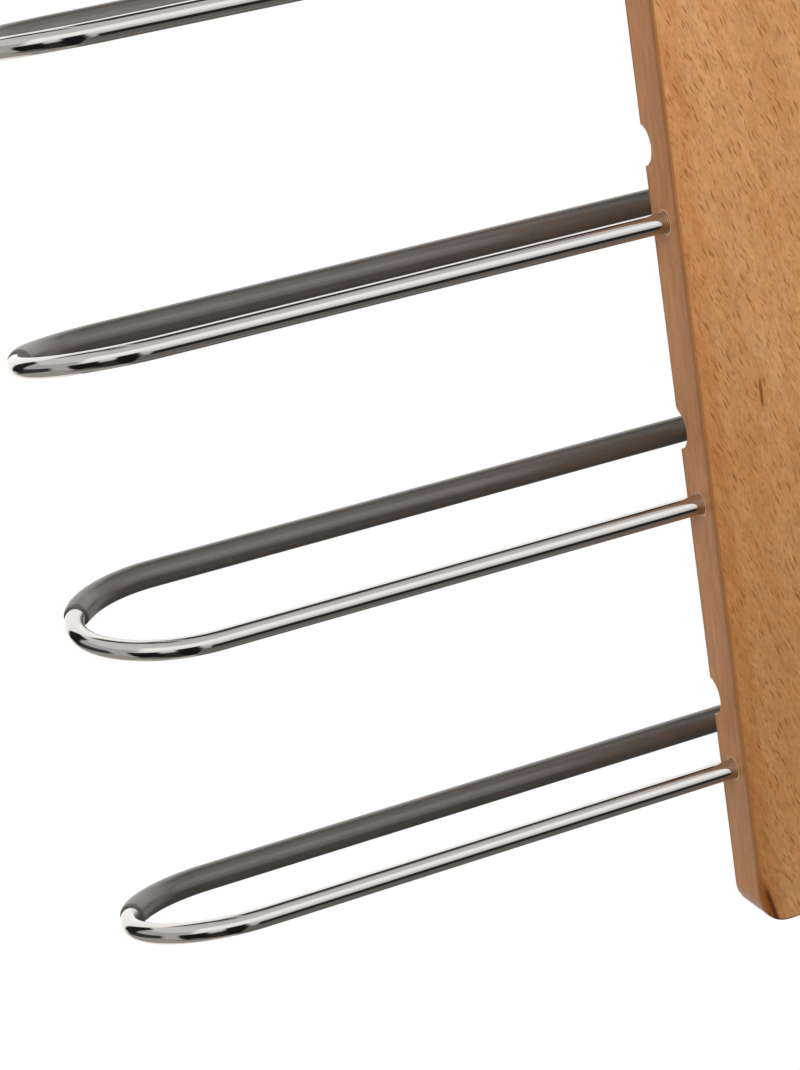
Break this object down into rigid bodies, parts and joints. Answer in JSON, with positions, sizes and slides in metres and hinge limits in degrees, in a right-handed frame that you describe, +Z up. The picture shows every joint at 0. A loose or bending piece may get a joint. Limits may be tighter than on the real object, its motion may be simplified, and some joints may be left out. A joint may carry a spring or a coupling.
{
  "type": "multi-tier trouser hanger",
  "caption": "Upright wooden board with a swivel hook on top and chromed rod loops along it that fold down; a soft sleeve on each loop's back leg holds trousers.",
  "frame": {"origin": "point inside the top of the hook's crook where a wardrobe rail bears", "axes": "+X along the bars, +Y from the board's front face towards the loops behind it, +Z up"},
  "size_m": [0.4313, 0.0771, 0.4268],
  "materials": {
    "beech": "clear satin lacquer on steamed beech",
    "chrome_rod": "bright chrome plate",
    "grip": "smooth satin soft vinyl, warm dark grey",
    "chrome_wire": "bright chrome plate",
    "brass": "turned brass",
    "spring_steel": "oiled spring steel"
  },
  "bodies": {
    "hook": {"hook": "chrome_wire", "hook_clip": "spring_steel"},
    "spine": {"spine_board": "beech", "hook_ferrule": "chrome_wire", "hook_bush": "brass"},
    "bar_1": {"trouser_bar_1": "chrome_rod", "grip_sleeve_1": "grip"},
    "bar_2": {"trouser_bar_2": "chrome_rod", "grip_sleeve_2": "grip"},
    "bar_3": {"trouser_bar_3": "chrome_rod", "grip_sleeve_3": "grip"},
    "bar_4": {"trouser_bar_4": "chrome_rod", "grip_sleeve_4": "grip"}
  },
  "joints": [
    {"name": "hook_swivel", "type": "hinge", "parent": "hook", "child": "spine", "pos_m": [0, 0, -0.06635], "axis": [0, 0, 1], "continuous": true},
    {"name": "bar_1_fold", "type": "hinge", "parent": "spine", "child": "bar_1", "pos_m": [0, 0, -0.11635], "axis": [1, 0, 0], "range_deg": [-78.5, 45]},
    {"name": "bar_2_fold", "type": "hinge", "parent": "spine", "child": "bar_2", "pos_m": [0, 0, -0.20135], "axis": [1, 0, 0], "range_deg": [-75.45, 48.05]},
    {"name": "bar_3_fold", "type": "hinge", "parent": "spine", "child": "bar_3", "pos_m": [0, 0, -0.28635], "axis": [1, 0, 0], "range_deg": [-85.42, 38.08]},
    {"name": "bar_4_fold", "type": "hinge", "parent": "spine", "child": "bar_4", "pos_m": [0, 0, -0.37135], "axis": [1, 0, 0], "range_deg": [-79.07, 50.93]}
  ]
}
